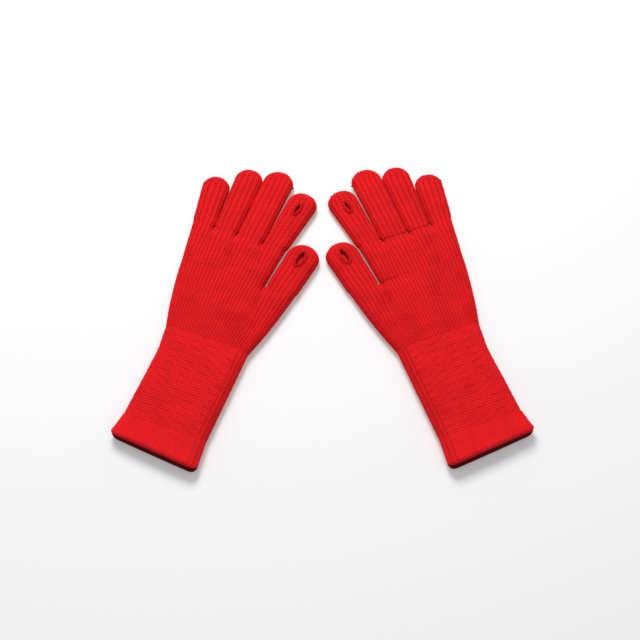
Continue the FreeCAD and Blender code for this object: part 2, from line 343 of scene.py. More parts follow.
def soft_noise(x: Array, y: Array, size: float, seed: float) -> Array:
    """Gentle waves: the mean of four sines of unlike directions and lengths near a size.

    Args:
        x: first coordinate.
        y: second coordinate.
        size: the typical wavelength.
        seed: shifts the phases.

    Returns:
        Values between -1 and 1.
    """
    k = 2.0 * math.pi / size
    total = np.sin(k * (0.91 * x + 0.35 * y) + 1.7 * seed)
    total = total + np.sin(k * (-0.47 * x + 1.13 * y) + 2.9 * seed + 1.0)
    total = total + np.sin(k * (1.37 * x - 0.71 * y) + 0.6 * seed + 2.0)
    total = total + np.sin(k * (0.29 * x + 0.83 * y) * 1.6 + 4.1 * seed + 3.0)
    return total / 4.0


def pillow(share: Array, half_width: Array, half_height: Array) -> tuple[Array, Array]:
    """One side of a flat tube's section, from its left edge over the top to its right edge.

    A quarter round, a flat run and a quarter round, all at even arc length; the flat run is crowned
    by a seventh of the height.

    Args:
        share: 0 at the left edge to 1 at the right edge.
        half_width: half the section's width.
        half_height: half its thickness.

    Returns:
        The place across from the middle, and the height over the middle plane.
    """
    b = np.minimum(half_height, half_width * 0.999)
    flat = 2.0 * (half_width - b)
    quarter = 0.5 * math.pi * b
    q = share * (flat + 2.0 * quarter)
    first = np.clip(q, 0.0, quarter)
    run = np.clip(q - quarter, 0.0, flat)
    last = np.clip(q - quarter - flat, 0.0, quarter)
    safe = np.maximum(b, 1e-6)
    across = -(half_width - b) - b * np.cos(first / safe) + run + b * np.sin(last / safe)
    height = b * np.sin(first / safe) - b * (1.0 - np.cos(last / safe))
    crown = 0.86 + 0.14 * np.sin(math.pi * np.clip(share, 0.0, 1.0))
    return across, height * crown


class Knit(Enum):
    """The fabrics of the glove."""

    HAND = "columns of open loops"
    WRIST = "rows drawn in by elastic"
    HEM = "dotted band"


def loop_chance(wale: Array, course: Array) -> Array:
    """An unevenness of its own for every loop: the fraction of a fast sine of its two numbers.

    Args:
        wale: place across.
        course: place along.

    Returns:
        Values between 0 and 1, the same all over a loop.
    """
    wave = np.sin(np.floor(wale) * 12.9898 + np.floor(course) * 78.233) * 43758.5453
    return wave - np.floor(wave)


def hand_relief(wale: Array, course: Array) -> Array:
    """Columns of arched loops: arches climb to a column's middle, with sunken dashes between columns, which
    the yarn's colour paints dark as shade.

    Args:
        wale: place across, whole numbers between columns.
        course: place along, whole numbers between rows.

    Returns:
        Height, 0 down between the loops to 1 on their crests.
    """
    aside = np.abs(2.0 * (wale - np.floor(wale)) - 1.0)
    climb = course + 0.62 * aside**1.3
    arch = np.abs(np.sin(math.pi * climb)) ** 0.6
    line = np.floor(wale + 0.5)
    along = course + 0.5 * np.mod(line, 2.0) + 0.3 * loop_chance(line, line * 0.0)
    between = 2.0 * np.abs(along - np.floor(along) - 0.5)
    dash = np.exp(-((between / 0.44) ** 2) - ((1.0 - aside) / 0.34) ** 2)
    height = 0.42 + 0.58 * arch - 0.16 * smooth(0.75, 1.0, aside) - 0.70 * dash
    return np.clip(height * (0.84 + 0.16 * loop_chance(wale, climb)), 0.0, 1.0)


def row_dashes(wale: Array, course: Array, wide: float, tall: float) -> tuple[Array, Array, Array]:
    """Short slanted dashes on the lines between rows, shifted from each line to the next.

    Args:
        wale: place across, in stitches.
        course: place along, in courses.
        wide: a dash's half width, in stitches.
        tall: its half height, in courses.

    Returns:
        How strongly each place is in a dash, how near it is to a line, and the line's number.
    """
    line = np.floor(course + 0.5)
    phase = wale + np.mod(0.618 * line, 1.0) + 0.45 * (course - line)
    nearest = np.floor(phase + 0.5)
    close = ((course - line) / tall) ** 2
    strength = 0.72 + 0.28 * loop_chance(nearest, line)
    return strength * np.exp(-(((phase - nearest) / wide) ** 2) - close), np.exp(-close), line


def wrist_relief(wale: Array, course: Array) -> Array:
    """Fine rows of staggered dashes, with a firmer line at every third row.

    Args:
        wale: place across, in stitches.
        course: place along, in courses.

    Returns:
        Height, 0 to 1.
    """
    dash, near, line = row_dashes(wale, course, 0.27, 0.26)
    firm = np.where(np.mod(line, 3.0) < 0.5, 0.20, 0.08) * (1.0 + 0.6 * np.sin(0.9 * wale + 2.1 * line))
    height = 0.97 - 0.74 * dash - firm * near
    return np.clip(height * (0.88 + 0.12 * loop_chance(wale, course)), 0.0, 1.0)


def hem_relief(wale: Array, course: Array) -> Array:
    """A closer, smoother fabric: fine staggered dashes and no firm lines.

    Args:
        wale: place across, in stitches.
        course: place along, in courses.

    Returns:
        Height, 0 to 1.
    """
    dash, near, _ = row_dashes(wale, course, 0.25, 0.24)
    height = 0.97 - 0.66 * dash - 0.10 * near
    return np.clip(height * (0.90 + 0.10 * loop_chance(wale, course)), 0.0, 1.0)


RELIEFS = {Knit.HAND: hand_relief, Knit.WRIST: wrist_relief, Knit.HEM: hem_relief}


# ---------------------------------------------------------------- the glove's own frame


@dataclass(frozen=True)
class GloveFrame:
    """Where one glove lies: its wrist line's middle and its two directions on the floor."""

    hand: str
    origin: Array
    across: Array
    along: Array

    @staticmethod
    def of(record: dict, hand: str) -> "GloveFrame":
        """Read a glove's place from its wrist joint in the record.

        Args:
            record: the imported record.
            hand: right or left.

        Returns:
            The glove's frame.
        """
        joints = {joint["name"]: joint for joint in record["behaviour"]["joints"]}
        joint = joints[hand + "_wrist_fold"]
        cosine, sine = -joint["axis"][0], -joint["axis"][1]
        along = np.array([-sine, cosine, 0.0])
        across = np.array([cosine, sine, 0.0]) * (1.0 if hand == "right" else -1.0)
        pivot = np.array([joint["pos_m"][0], joint["pos_m"][1], 0.0])
        return GloveFrame(hand, pivot + 0.3 * MM * along, across, along)

    def place(self, points: Array) -> Array:
        """Carry points from the glove's frame, in millimetres, to the part's frame, in metres.

        Args:
            points: an array whose last axis is X, Y, Z.

        Returns:
            The same points in the part's frame.
        """
        up = np.array([0.0, 0.0, 1.0])
        turned = points[..., 0:1] * self.across + points[..., 1:2] * self.along + points[..., 2:3] * up
        return self.origin + MM * turned

    def point(self, x: float, y: float, z: float) -> tuple[float, float, float]:
        """Carry one point from the glove's frame to the part's frame.

        Args:
            x: across, in millimetres.
            y: along, in millimetres.
            z: up, in millimetres.

        Returns:
            The point in the part's frame, in metres.
        """
        return tuple(self.place(np.array([x, y, z])))

    @property
    def mirrored(self) -> bool:
        """Whether the glove's frame is the mirror image of the part's."""
        return self.hand == "left"


# ---------------------------------------------------------------- meshes


@dataclass
class Skin:
    """Points, faces and attributes of a mesh under construction, in the glove's own frame."""

    points: list[Array] = field(default_factory=list)
    faces: list[Array] = field(default_factory=list)
    relief: list[Array] = field(default_factory=list)
    weave: list[Array] = field(default_factory=list)
    count: int = 0

    def add(self, points: Array, relief: Array, weave: Array) -> int:
        """Add points with their relief value and their place in the weave.

        Args:
            points: N by 3.
            relief: N values.
            weave: N by 2, in wales and courses.

        Returns:
            The index of the first point added.
        """
        first = self.count
        self.points.append(points.reshape(-1, 3))
        self.relief.append(np.broadcast_to(relief, points.shape[:-1]).reshape(-1))
        self.weave.append(np.broadcast_to(weave, points.shape[:-1] + (2,)).reshape(-1, 2))
        self.count += len(self.points[-1])
        return first

    def join(self, corners: list[Array]) -> None:
        """Add faces.

        Args:
            corners: one array of point numbers for each corner of the faces.
        """
        flat = [np.broadcast_to(corner, corners[0].shape).reshape(-1) for corner in corners]
        self.faces.append(np.stack(flat, axis=1))

    def mesh(self, name: str, place: GloveFrame, material: bpy.types.Material) -> bpy.types.Object:
        """Write everything into a new object.

        Args:
            name: the object's name.
            place: the glove's frame.
            material: its finish.

        Returns:
            The new object, at the origin.
        """
        points = place.place(np.concatenate(self.points))
        points[:, 2] = np.maximum(points[:, 2], 0.0)
        relief = np.concatenate(self.relief).astype(np.float32)
        weave = np.concatenate(self.weave).astype(np.float32)
        data = bpy.data.meshes.new(name)
        loops = [row[:, ::-1] if place.mirrored else row for row in self.faces]
        sizes = np.concatenate([np.full(len(row), row.shape[1]) for row in loops])
        corner = np.concatenate([row.reshape(-1) for row in loops])
        sheet_places = weave[corner]
        used = np.zeros(len(points), dtype=bool)
        used[corner] = True
        corner = (np.cumsum(used) - 1)[corner].astype(np.int32)
        points, relief = points[used], relief[used]
        data.vertices.add(len(points))
        data.vertices.foreach_set("co", points.astype(np.float32).ravel())
        data.loops.add(len(corner))
        data.loops.foreach_set("vertex_index", corner)
        data.polygons.add(len(sizes))
        starts = np.concatenate([[0], np.cumsum(sizes)[:-1]]).astype(np.int32)
        data.polygons.foreach_set("loop_start", starts)
        data.update(calc_edges=True)
        data.polygons.foreach_set("use_smooth", np.ones(len(sizes), dtype=bool))
        data.attributes.new("relief", "FLOAT", "POINT").data.foreach_set("value", relief)
        sheet = data.uv_layers.new(name="weave")
        sheet.data.foreach_set("uv", sheet_places.ravel())
        data.materials.append(material)
        made = bpy.data.objects.new(name, data)
        bpy.context.scene.collection.objects.link(made)
        return made


def outward(points: Array, closed: bool) -> Array:
    """Unit normals of a grid of rows, from the steps to each point's neighbours.

    Args:
        points: rows by columns by 3.
        closed: whether the last column joins the first.

    Returns:
        An array of the same shape.
    """
    along = np.gradient(points, axis=0)
    if closed:
        across = np.roll(points, -1, axis=1) - np.roll(points, 1, axis=1)
    else:
        across = np.gradient(points, axis=1)
    found = np.cross(across, along)
    return found / np.maximum(np.linalg.norm(found, axis=2, keepdims=True), 1e-9)


@dataclass
class Rows:
    """The cross-sections of a tube from its root to its end, each lying between two side points."""

    left: Array
    right: Array
    half: Array
    middle: Array
    course: Array
    depth: Array
    calm: Array

    def inside(self, wall: float, chosen: Array) -> "Rows":
        """Take some cross-sections in by the fabric's wall all round.

        Args:
            wall: the wall's thickness.
            chosen: which rows to keep.

        Returns:
            The smaller rows, with no relief.
        """
        width = np.linalg.norm(self.right - self.left, axis=1, keepdims=True)
        step = wall * (self.right - self.left) / np.maximum(width, 1e-6)
        half = np.maximum(self.half - wall, 0.25)
        return Rows(
            (self.left + step)[chosen],
            (self.right - step)[chosen],
            half[chosen],
            self.middle[chosen],
            self.course[chosen],
            np.zeros(int(chosen.sum())),
            self.calm[chosen],
        )


@dataclass(frozen=True)
class Cell:
    """One of the tubes that a palm divides into at its far end."""

    left: float
    right: float
    half: float
    wales: int

    def inside(self, wall: float) -> "Cell":
        """Take the cell in by the fabric's wall all round.

        Args:
            wall: the wall's thickness.

        Returns:
            The smaller cell.
        """
        return Cell(self.left + wall, self.right - wall, self.half - wall, self.wales)


@dataclass(frozen=True)
class Slit:
    """A lens-shaped opening along the middle of a tube's palm side."""

    centre: float
    half_length: float
    half_width: float
    reach: float = 8.0

    def opening(self, course: Array) -> Array:
        """Half the opening's width, a rounded lens.

        Args:
            course: places along, in courses.

        Returns:
            Half the width at each place.
        """
        t = np.clip(1.0 - ((course - self.centre) / self.half_length) ** 2, 0.0, 1.0)
        return self.half_width * t**0.62


def round_shares(turn: Array) -> tuple[Array, Array]:
    """Split a trip round the tube, 0 to 2 from the top's middle by the right, into share and side.

    Args:
        turn: 0 at the top's middle, 1 at the underside's middle, 2 back at the top.

    Returns:
        The share from the left edge to the right edge, and 1 on the top or -1 underneath.
    """
    top = (turn <= 0.5) | (turn >= 1.5)
    share = np.where(turn <= 0.5, 0.5 + turn, np.where(turn >= 1.5, turn - 1.5, 1.5 - turn))
    return share, np.where(top, 1.0, -1.0)


def wrap(rows: Rows, share: Array, side: Array, cells: list[Cell], divided: Array, fanned: Array) -> Array:
    """Points of a tube: each row is a pillow section, which turns into one pillow for each cell.

    Args:
        rows: the cross-sections.
        share: rows by columns, the place across.
        side: columns, 1 for the top and -1 for underneath.
        cells: the tubes that the end divides into, if any.
        divided: how far each row's height is divided, 0 to 1.
        fanned: how far each row's columns have moved to their cells, 0 to 1.

    Returns:
        Rows by columns by 3.
    """
    span = rows.right - rows.left
    width = np.linalg.norm(span, axis=1)[:, None]
    direction = span / np.maximum(width, 1e-6)
    across, height = pillow(share, width / 2.0, rows.half[:, None])
    if cells:
        total = sum(cell.wales for cell in cells)
        first = 0
        apart, lifted = np.zeros_like(across), np.zeros_like(height)
        middle = ((rows.left + rows.right) / 2.0)[:, 0:1]
        for cell in cells:
            within = (share * total - first) / cell.wales
            here = (within >= 0.0) & (within <= 1.0)
            half_width = np.full_like(within, (cell.right - cell.left) / 2.0)
            x, z = pillow(np.clip(within, 0.0, 1.0), half_width, np.full_like(within, cell.half))
            apart = np.where(here, x + (cell.left + cell.right) / 2.0, apart)
            lifted = np.where(here, z, lifted)
            first += cell.wales
        spread = width / width[-1]
        across = across * (1.0 - fanned[:, None]) + (apart - middle[-1]) * spread * fanned[:, None]
        height = height * (1.0 - divided[:, None]) + lifted * divided[:, None]
    centre = ((rows.left + rows.right) / 2.0)[:, None, :]
    flat = centre + across[:, :, None] * direction[:, None, :]
    z = rows.middle[:, None] + side[None, :] * height
    return np.concatenate([flat, z[:, :, None]], axis=2)


@dataclass
class KnitTube:
    """A knitted tube with a wall, open at its root and open or closed at its end."""

    rows: Rows
    wales: int
    knit: Knit
    closed_tip: Array | None = None
    cells: list[Cell] = field(default_factory=list)
    divided: Array | None = None
    fanned: Array | None = None
    slit: Slit | None = None
    wall: float = 3.0
    per_wale: int = 7
    inner_step: int = 7
    seed: float = 0.0
    ripple: float = 1.0
    rib: tuple[float, ...] = ()
    seams: tuple[tuple[float, float, float], ...] = ()
    backing: float = 5.2

    def _turns(self) -> Array:
        """Where each column stands on the trip round the tube; a slit's tube has one more.

        Returns:
            Places from 0 to 2.
        """
        count = 2 * self.wales * self.per_wale
        return np.arange(count + (1 if self.slit else 0)) * (2.0 / count)

    def _shares(self, rows: Rows, turn: Array) -> tuple[Array, Array]:
        """The place across of every point, pushed aside where the slit opens.

        Args:
            rows: the cross-sections.
            turn: the columns' places round the tube.

        Returns:
            Rows by columns of shares, and the columns' sides.
        """
        share, side = round_shares(turn)
        shares = np.broadcast_to(share, (len(rows.course), len(turn))).copy()
        if self.slit:
            width = np.linalg.norm(rows.right - rows.left, axis=1)[:, None]
            b = np.minimum(rows.half[:, None], width / 2.0)
            length = width - 2.0 * b + math.pi * b
            away = np.where(turn <= 1.0, turn, turn - 2.0)[None, :] * length
            away = np.where(np.arange(len(turn))[None, :] == len(turn) - 1, -1e-9, away)
            push = self.slit.opening(rows.course)[:, None] * np.exp(-((away / self.slit.reach) ** 2))
            shares = shares + np.where(side > 0, np.sign(away + 1e-12) * push / length, 0.0)
        return np.clip(shares, 0.0, 1.0), side

    def _layer(self, rows: Rows, divided: Array, fanned: Array, outer: bool) -> tuple[Array, Array, Array]:
        """One face of the fabric.

        Args:
            rows: its cross-sections.
            divided: how far each row's height is divided into cells.
            fanned: how far each row's columns have moved to their cells.
            outer: whether it is the outer face, which carries the relief.

        Returns:
            Points, relief and weave coordinates.
        """
        turn = self._turns()
        shares, side = self._shares(rows, turn)
        cells = self.cells
        if not outer:
            cells = [cell.inside(self.wall) for cell in cells]
        points = wrap(rows, shares, side, cells, divided, fanned)
        plain, _ = round_shares(turn)
        wale = np.broadcast_to(plain * self.wales, shares.shape)
        course = np.broadcast_to(rows.course[:, None], shares.shape)
        weave = np.stack([wale, course], axis=2)
        if not outer:
            return self._backed(points, rows, side), np.full(shares.shape, 0.9), weave
        bent = course + 0.10 * soft_noise(points[..., 0], points[..., 1], 31.0, self.seed)
        sway = wale + 0.07 * soft_noise(points[..., 0], points[..., 1], 23.0, self.seed + 5.0)
        relief = RELIEFS[self.knit](sway, bent)
        relief = relief + (0.68 - relief) * self.rows.calm[:, None]
        # Ribs and seams press grooves into the relief; these sink the surface and also darken it as painted
        # shade.
        for line in self.rib:
            relief = relief * (1.0 - 0.45 * np.exp(-(((wale - line) / 0.35) ** 2)) * (side > 0))
        for place, first, last in self.seams:
            within = smooth(first - 0.6, first + 0.6, wale) * smooth(last + 0.6, last - 0.6, wale)
            relief = relief * (1.0 - 0.6 * np.exp(-(((course - place) / 0.28) ** 2)) * within * (side > 0))
        normal = outward(points, self.slit is None)
        swell = soft_noise(points[..., 0], points[..., 1], 38.0, self.seed + 2.0)
        swell = swell + soft_noise(points[..., 0], points[..., 1], 85.0, self.seed + 3.0)
        sink = self.ripple * (0.5 + 0.25 * swell) * (side > 0)
        uneven = 0.10 * soft_noise(points[..., 0] * 3.0, points[..., 1] * 3.0, 17.0, self.seed)
        depth = rows.depth[:, None] * (1.0 + uneven)
        points = points + normal * (depth * (relief - 1.0) - sink)[..., None]
        return points, relief, weave

    def _backed(self, points: Array, rows: Rows, side: Array) -> Array:
        """The inner face, whose underside puffs up behind the slit as a bell of the backing's height.

        Args:
            points: the inner face's points.
            rows: its cross-sections.
            side: the columns' sides.

        Returns:
            The points, raised behind the slit.
        """
        if self.slit is None:
            return points
        middle = ((rows.left + rows.right) / 2.0)[:, None, :]
        aside = np.linalg.norm(points[..., :2] - middle, axis=2)
        along = (rows.course[:, None] - self.slit.centre) / (1.2 * self.slit.half_length)
        rise = self.backing * np.exp(-((aside / 7.0) ** 2)) * np.exp(-(along**4)) * (side < 0)
        return points + rise[..., None] * np.array([0.0, 0.0, 1.0])

    def build(self) -> Skin:
        """Build the tube: the outer face from the root, the inner face back, and the joins.

        Returns:
            The tube's skin.
        """
        rows = self.rows
        total = len(rows.course)
        divided = np.zeros(total) if self.divided is None else self.divided
        fanned = np.zeros(total) if self.fanned is None else self.fanned
        chosen = np.arange(total) % self.inner_step == 0
        chosen[-1] = True
        if self.slit:
            chosen |= self.slit.opening(rows.course) > 0.0
            edge = np.flatnonzero(self.slit.opening(rows.course) > 0.0)
            chosen[edge[0] - 1] = chosen[edge[-1] + 1] = True
        if self.closed_tip is not None:
            width = np.linalg.norm(rows.right - rows.left, axis=1)
            chosen &= (width / 2.0 > self.wall + 1.0) & (rows.half > self.wall + 0.6)
        skin = Skin()
        outer, relief, weave = self._layer(rows, divided, fanned, True)
        within = rows.inside(self.wall, chosen)
        inner, dull, loose = self._layer(within, divided[chosen], fanned[chosen], False)
        columns = outer.shape[1]
        top = skin.add(outer, relief, weave)
        low = skin.add(inner, dull, loose)
        opened = np.zeros(total, dtype=bool) if self.slit is None else self.slit.opening(rows.course) > 0.0
        outside = self._index(top, total, columns, opened)
        inside = self._index(low, int(chosen.sum()), columns, opened[chosen])
        self._strips(skin, outside, False)
        self._strips(skin, inside, True)
        self._bridge(skin, outside[0], inside[0])
        if self.closed_tip is None:
            self._bridge(skin, inside[-1], outside[-1])
        else:
            axis = self.closed_tip - (rows.left[0] + rows.right[0]) / 2.0
            axis = axis / np.linalg.norm(axis)
            height = rows.middle[-1]
            tip = np.array([[self.closed_tip[0], self.closed_tip[1], height]])
            back = np.array([[*(self.closed_tip - axis * self.wall), height]])
            pole = skin.add(tip, np.array([relief[-1].mean()]), weave[-1, :1])
            # Painted shade: the inner pole inside the tip takes a low relief value, so it colours dark.
            well = skin.add(back, np.array([0.12]), weave[-1, :1])
            skin.join([outside[-1][:-1], outside[-1][1:], np.full(columns_of(outside), pole)])
            skin.join([inside[-1][1:], inside[-1][:-1], np.full(columns_of(inside), well)])
        if self.slit:
            self._line_slit(skin, outside, inside, opened, chosen)
        return skin

    def _index(self, first: int, rows: int, columns: int, opened: Array) -> Array:
        """Point numbers of a layer, row by row, each row ending on the point that closes it.

        Args:
            first: the layer's first point.
            rows: its rows.
            columns: its columns.
            opened: which rows the slit opens, and so leaves unclosed.

        Returns:
            Rows by columns plus one (or by columns, for a slit's tube).
        """
        grid = first + np.arange(rows * columns).reshape(rows, columns)
        if self.slit is None:
            return np.concatenate([grid, grid[:, :1]], axis=1)
        grid[:, -1] = np.where(opened, grid[:, -1], grid[:, 0])
        return grid

    def _strips(self, skin: Skin, grid: Array, turned: bool) -> None:
        """Fill a layer with four-sided faces.

        Args:
            skin: the skin to add to.
            grid: the layer's point numbers.
            turned: whether the faces look the other way, as on an inner face.
        """
        a, b = grid[:-1, :-1], grid[:-1, 1:]
        c, d = grid[1:, 1:], grid[1:, :-1]
        skin.join([d, c, b, a] if turned else [a, b, c, d])

    def _bridge(self, skin: Skin, first: Array, second: Array) -> None:
        """Join two rings of points, the second lying inside the first or the other way round.

        Args:
            skin: the skin to add to.
            first: the first ring's point numbers.
            second: the second ring's.
        """
        skin.join([first[1:], first[:-1], second[:-1], second[1:]])

    def _line_slit(self, skin: Skin, outside: Array, inside: Array, opened: Array, chosen: Array) -> None:
        """Join the outer and inner faces along both sides of the slit.

        Args:
            skin: the skin to add to.
            outside: the outer face's point numbers.
            inside: the inner face's point numbers.
            opened: which outer rows are open.
            chosen: which outer rows the inner face has.
        """
        rows = np.flatnonzero(opened)
        span = np.arange(rows[0] - 1, rows[-1] + 2)
        match = np.cumsum(chosen) - 1
        out_first, out_last = outside[span, 0], outside[span, -1]
        in_first, in_last = inside[match[span], 0], inside[match[span], -1]
        skin.join([out_first[1:], in_first[1:], in_first[:-1], out_first[:-1]])
        skin.join([out_last[:-1], in_last[:-1], in_last[1:], out_last[1:]])


def columns_of(grid: Array) -> int:
    """How many faces stand in one row of a layer.

    Args:
        grid: the layer's point numbers.

    Returns:
        The number of faces.
    """
    return grid.shape[1] - 1


def cord_skin(
    path: Array, radius: Array, twists: float, ridge: float, closed: bool, around: int = 12
) -> Skin:
    """A twisted yarn along a path: a round section whose radius waves with a helix of two plies.

    Args:
        path: N by 3.
        radius: N radii.
        twists: turns of the twist over the whole path.
        ridge: share of the radius that the plies stand out by.
        closed: whether the path's end joins its start.
        around: points round the section.

    Returns:
        The yarn's skin.
    """
    if closed:
        step = np.roll(path, -1, axis=0) - np.roll(path, 1, axis=0)
    else:
        step = np.gradient(path, axis=0)
    step = step / np.maximum(np.linalg.norm(step, axis=1, keepdims=True), 1e-9)
    lift = np.array([0.0, 0.0, 1.0])
    aside = np.cross(step, lift)
    aside = aside / np.maximum(np.linalg.norm(aside, axis=1, keepdims=True), 1e-6)
    over = np.cross(aside, step)
    angle = np.arange(around) * (2.0 * math.pi / around)
    along = np.arange(len(path)) / len(path)
    wave = np.abs(np.cos(angle[None, :] - 2.0 * math.pi * twists * along[:, None]))
    reach = radius[:, None] * (1.0 - ridge + ridge * wave)
    points = path[:, None, :] + reach[..., None] * (
        np.cos(angle)[None, :, None] * aside[:, None, :] + np.sin(angle)[None, :, None] * over[:, None, :]
    )
    skin = Skin()
    weave = np.stack(np.broadcast_arrays(angle[None, :], 40.0 * along[:, None]), axis=2)
    # Painted shade: the yarn colours darker down in the grooves between its plies.
    first = skin.add(points, 0.25 + 0.65 * wave, weave)
    grid = first + np.arange(len(path) * around).reshape(len(path), around)
    grid = np.concatenate([grid, grid[:, :1]], axis=1)
    if closed:
        grid = np.concatenate([grid, grid[:1]], axis=0)
    a, b, c, d = grid[:-1, :-1], grid[:-1, 1:], grid[1:, 1:], grid[1:, :-1]
    skin.join([a, d, c, b])
    if not closed:
        start = skin.add(path[:1], np.array([0.4]), weave[0, :1])
        end = skin.add(path[-1:], np.array([0.4]), weave[-1, :1])
        skin.join([grid[0][:-1], grid[0][1:], np.full(around, start)])
        skin.join([grid[-1][1:], grid[-1][:-1], np.full(around, end)])
    return skin


# ---------------------------------------------------------------- sub-assemblies


@dataclass(frozen=True)
class Finishes:
    """The pair's materials."""

    hand: bpy.types.Material
    lip: bpy.types.Material
    wrist: bpy.types.Material
    hem: bpy.types.Material
    yarn: bpy.types.Material


def settle(made: bpy.types.Object, body: str, nodes: list[str]) -> None:
    """Let a piece ride on a body and let it stand for its CAD nodes.

    Args:
        made: the piece.
        body: the body it rides on.
        nodes: the CAD nodes it replaces.
    """
    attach(made, body)
    describe(made, nodes)


def describe(made: bpy.types.Object, nodes: list[str]) -> None:
    """Hide the CAD nodes that a piece stands for, and report it.

    Args:
        made: the piece.
        nodes: the CAD nodes it replaces.
    """
    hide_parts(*nodes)
    LOG.info("%s: %d faces", made.name, len(made.data.polygons))


@dataclass
class Finger:
    """A finger or the thumb: straight sides that run as tangents into a round tip."""

    name: str
    left: float
    right: float
    root: float
    length: float
    tip_width: float
    lean: float
    yarn_angle: float
    thickness: float = 11.5
    wales: int = 6
    slit_from_tip: float = 0.0
    slit_length: float = 0.0
    slit_width: float = 0.0
    course_length: float = 2.35
    rows_per_course: int = 5
    relief_depth: float = 1.3
    blend_length: float = 16.0
    fullness: float = 0.9
    yarn_shows: float = 0.5

    def __post_init__(self) -> None:
        """Work out the tip's circle and where the sides touch it."""
        self.radius = self.tip_width / 2.0
        reach = self.length - self.radius
        turn = math.radians(self.lean)
        middle = (self.left + self.right) / 2.0
        self.centre = np.array([middle + reach * math.tan(turn), self.root + reach])
        self.tip_angle = math.pi / 2.0 - turn
        self.axis = np.array([math.sin(turn), math.cos(turn)])

    def _touch(self, corner: Array, side: float) -> float:
        """Where the side from a root corner touches the tip's circle.

        Args:
            corner: the root corner.
            side: 1 for the right side, -1 for the left.

        Returns:
            The angle on the circle.
        """
        offset = corner - self.centre
        spread = math.acos(self.radius / float(np.linalg.norm(offset)))
        return math.atan2(offset[1], offset[0]) + side * spread

    def rim(self, angle: Array | float) -> Array:
        """Points on the tip's circle.

        Args:
            angle: angles from the X axis.

        Returns:
            The points.
        """
        return self.centre + self.radius * np.stack([np.cos(angle), np.sin(angle)], axis=-1)

    def rows(self) -> Rows:
        """Cross-sections up the straight sides and then round the tip by even angles.

        The half thickness near the tip is b sqrt(1 - (1 - d / b)^2) at a distance d from the tip.

        Returns:
            The finger's rows.
        """
        low_left, low_right = np.array([self.left, self.root]), np.array([self.right, self.root])
        left_angle = self._touch(low_left, -1.0) % (2.0 * math.pi)
        right_angle = self._touch(low_right, 1.0)
        touch_left, touch_right = self.rim(left_angle), self.rim(right_angle)
        side = float(np.linalg.norm(touch_left - low_left))
        arc = self.radius * math.pi / 2.0
        step = self.course_length / self.rows_per_course
        t = np.linspace(0.0, 1.0, int(round(side / step)) + 1)[:, None]
        turn = np.linspace(0.0, 1.0, int(round(arc / step)) + 2)[1:-1]
        round_left = self.rim(left_angle + turn * (self.tip_angle - left_angle))
        round_right = self.rim(right_angle + turn * (self.tip_angle - right_angle))
        left = np.concatenate([low_left + t * (touch_left - low_left), round_left])
        right = np.concatenate([low_right + t * (touch_right - low_right), round_right])
        course = np.concatenate([t[:, 0] * side, side + turn * arc]) / self.course_length
        half = np.full(len(left), self.thickness / 2.0)
        tip = self.rim(self.tip_angle)
        middle = (left + right) / 2.0
        distance = np.maximum((tip - middle) @ self.axis, 0.0)
        half = half * np.sqrt(1.0 - np.clip(1.0 - distance / (self.thickness / 2.0 + 1.2), 0.0, 1.0) ** 2)
        width = np.linalg.norm(right - left, axis=1)
        swollen = self.fullness * smooth(0.0, 5.0, course * self.course_length) * smooth(0.0, 9.0, distance)
        step = swollen[:, None] * (right - left) / np.maximum(width, 1e-6)[:, None]
        left, right = left - step, right + step
        fading = 0.55 + 0.45 * smooth(2.0, 16.0, distance)
        depth = self.relief_depth * smooth(0.0, 9.0, width / 2.0) * fading
        level = np.full(len(left), self.thickness / 2.0)
        calm = 0.55 * smooth(15.0, 3.0, distance)
        return Rows(left, right, half, level, course, depth, calm)

    def slit(self) -> Slit | None:
        """The slit on the palm side.

        Returns:
            The slit, placed in courses, or none.
        """
        if self.slit_length == 0.0:
            return None
        rows = self.rows()
        middle = (rows.left + rows.right) / 2.0
        from_tip = (self.rim(self.tip_angle) - middle) @ self.axis
        place = np.interp(-self.slit_from_tip, -from_tip, rows.course)
        start = np.interp(-self.slit_from_tip - self.slit_length / 2.0, -from_tip, rows.course)
        end = np.interp(-self.slit_from_tip + self.slit_length / 2.0, -from_tip, rows.course)
        reach = float(max(end - place, place - start))
        return Slit(float((start + end) / 2.0), reach, self.slit_width / 2.0)

    def build(self, glove: "Glove") -> None:
        """Build the finger, its slit's rolled lip and its yarn end.

        Args:
            glove: the glove that it belongs to.
        """
        rows = self.rows()
        slit = self.slit()
        tube = KnitTube(rows, self.wales, Knit.HAND, self.rim(self.tip_angle), slit=slit, seed=glove.seed)
        node = glove.hand + "_" + self.name
        made = tube.build().mesh(node + "_knit", glove.place, glove.finishes.hand)
        short = self.name.replace("_finger", "")
        body = node + "_section"
        middle = (self.left + self.right) / 2.0
        start = glove.place.point(middle, self.root, self.thickness / 2.0)
        far = np.array([middle, self.root]) + self.blend_length * self.axis
        end = glove.place.point(float(far[0]), float(far[1]), self.thickness / 2.0)
        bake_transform(made)
        describe(made, [node])
        self._yarn_end(glove, glove.hand + "_" + short + "_yarn_end", body)
        if slit:
            self._lip(glove, rows, slit, glove.hand + "_" + short + "_slit_edge", body)

